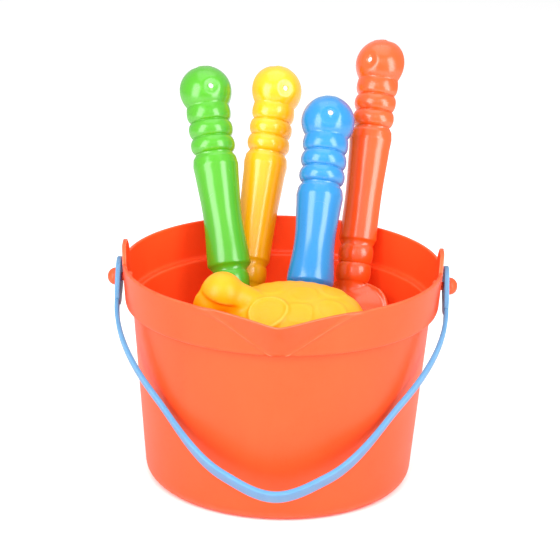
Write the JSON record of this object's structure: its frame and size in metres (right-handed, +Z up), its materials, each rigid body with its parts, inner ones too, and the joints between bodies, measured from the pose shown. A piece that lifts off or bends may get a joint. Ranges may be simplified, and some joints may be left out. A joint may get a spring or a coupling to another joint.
{
  "type": "sand bucket",
  "caption": "Child's sand bucket with pouring spout and swinging bail, holding sand tools with beaded handles and a turtle sand mould, all of which lift out.",
  "frame": {"origin": "middle of the bucket's base, on the floor it stands on", "axes": "+Z up along the bucket's axis, -Y towards the pouring spout, the bail's pins on X"},
  "size_m": [0.215, 0.2415, 0.2494],
  "materials": {
    "bucket_orange": "satin moulded plastic",
    "bail_blue": "satin moulded plastic",
    "tool_green": "satin moulded plastic",
    "tool_yellow": "satin moulded plastic",
    "tool_blue": "satin moulded plastic",
    "tool_red": "satin moulded plastic",
    "mould_yellow": "satin moulded plastic"
  },
  "bodies": {
    "bucket": {"bucket": "bucket_orange", "left_pin": "bucket_orange", "right_pin": "bucket_orange"},
    "bail": {"bail": "bail_blue"},
    "green_shovel": {"green_shovel": "tool_green"},
    "yellow_rake": {"yellow_rake": "tool_yellow"},
    "blue_trowel": {"blue_trowel": "tool_blue"},
    "red_scoop": {"red_scoop": "tool_red"},
    "turtle_mould": {"turtle_mould": "mould_yellow"}
  },
  "joints": [
    {"name": "bail_swing", "type": "hinge", "parent": "bucket", "child": "bail", "pos_m": [0, 0, 0.1243], "axis": [-1, 0, 0], "range_deg": [0, 135]},
    {"name": "green_shovel_lift", "type": "slide", "parent": "bucket", "child": "green_shovel", "axis": [-0.2535, 0.2011, 0.9462], "range_m": [0, 0.26]},
    {"name": "yellow_rake_lift", "type": "slide", "parent": "bucket", "child": "yellow_rake", "axis": [0.2221, 0.3966, 0.8907], "range_m": [0, 0.26]},
    {"name": "blue_trowel_lift", "type": "slide", "parent": "bucket", "child": "blue_trowel", "axis": [-0.0906, 0.4979, 0.8625], "range_m": [0, 0.24]},
    {"name": "red_scoop_lift", "type": "slide", "parent": "bucket", "child": "red_scoop", "axis": [0.2391, 0.1519, 0.959], "range_m": [0, 0.26]},
    {"name": "turtle_mould_lift", "type": "slide", "parent": "bucket", "child": "turtle_mould", "axis": [0, 0, 1], "range_m": [0, 0.12]}
  ]
}
